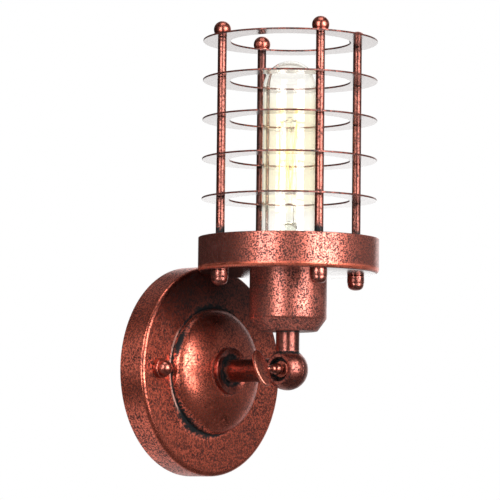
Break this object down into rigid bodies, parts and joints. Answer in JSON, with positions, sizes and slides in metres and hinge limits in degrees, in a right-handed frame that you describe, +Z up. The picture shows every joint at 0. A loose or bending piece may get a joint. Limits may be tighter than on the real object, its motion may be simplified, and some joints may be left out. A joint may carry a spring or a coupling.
{
  "type": "cage wall light",
  "caption": "Wall light with a round bossed canopy, a short arm, a tilting knuckle with a thumb screw, a lamp cup and pan, and a cage of flat rings on tie rods round a tube lamp.",
  "frame": {"origin": "middle of the wall bracket's screw slots, on the wall plane", "axes": "+Y into the wall, +Z up, +X to the right as seen from the room; the light stands out along -Y"},
  "size_m": [0.12, 0.1229, 0.2543],
  "materials": {
    "canopy_copper": "satin antique copper paint with a fine black speckle, darker and browner than the head",
    "antique_copper": "satin antique copper paint with a fine black speckle and dark green-black patina in the corners",
    "zinc_steel": "bright zinc plate",
    "green_steel": "green dyed plate",
    "black_phenolic": "moulded black phenolic",
    "black_wire": "black insulation",
    "white_wire": "white insulation",
    "orange_plastic": "moulded orange plastic",
    "ceramic": "white glazed ceramic",
    "brass": "bright brass",
    "clear_glass": "clear glass with a slight amber tint",
    "black_glass": "black glass insulator",
    "nickel": "nickel plate",
    "filament_wire": "glowing filament"
  },
  "bodies": {
    "wall_base": {"box_bar": "zinc_steel", "fixture_bar": "zinc_steel", "bar_rivet": "zinc_steel", "canopy_studs": "zinc_steel", "ground_screw": "green_steel", "canopy": "canopy_copper", "canopy_knobs": "antique_copper", "nipple": "zinc_steel", "nipple_washer": "zinc_steel", "nipple_locknut": "zinc_steel", "wire_bushing": "black_phenolic", "collar": "antique_copper", "arm_tube": "antique_copper", "knuckle_arm_half": "antique_copper", "arm_lead_upper": "black_wire", "arm_lead_lower": "white_wire", "wire_connectors": "orange_plastic"},
    "head": {"knuckle_stem_half": "antique_copper", "stem_washer": "zinc_steel", "stem_locknut": "zinc_steel", "head_leads": "black_wire", "lamp_cup": "antique_copper", "holder_base": "black_phenolic", "holder_insert": "ceramic", "holder_sleeve": "black_phenolic", "screw_shell": "brass", "centre_contact": "brass", "terminal_screws": "brass", "holder_ring": "antique_copper", "pan": "antique_copper", "tie_rods": "zinc_steel", "bottom_cap_nuts": "antique_copper", "top_cap_nuts": "antique_copper", "spacers_1": "antique_copper", "spacers_2": "antique_copper", "spacers_3": "antique_copper", "spacers_4": "antique_copper", "spacers_5": "antique_copper", "ring_1": "antique_copper", "ring_2": "antique_copper", "ring_3": "antique_copper", "ring_4": "antique_copper", "ring_5": "antique_copper"},
    "screw": {"thumb_screw": "antique_copper"},
    "bulb": {"bulb_glass": "clear_glass", "bulb_cap": "nickel", "bulb_insulator": "black_glass", "bulb_contact": "nickel", "bulb_mount": "clear_glass", "filament_hooks": "nickel", "filament": "filament_wire"}
  },
  "joints": [
    {"name": "head_tilt", "type": "hinge", "parent": "wall_base", "child": "head", "pos_m": [0, -0.072, 0], "axis": [1, 0, 0], "range_deg": [-3, 183]},
    {"name": "thumb_screw_turn", "type": "hinge", "parent": "head", "child": "screw", "pos_m": [0, -0.072, 0], "axis": [-1, 0, 0], "range_deg": [0, 360]},
    {"name": "bulb_turn", "type": "hinge", "parent": "head", "child": "bulb", "pos_m": [0, -0.072, 0.1], "axis": [0, 0, 1], "range_deg": [0, 360]}
  ]
}
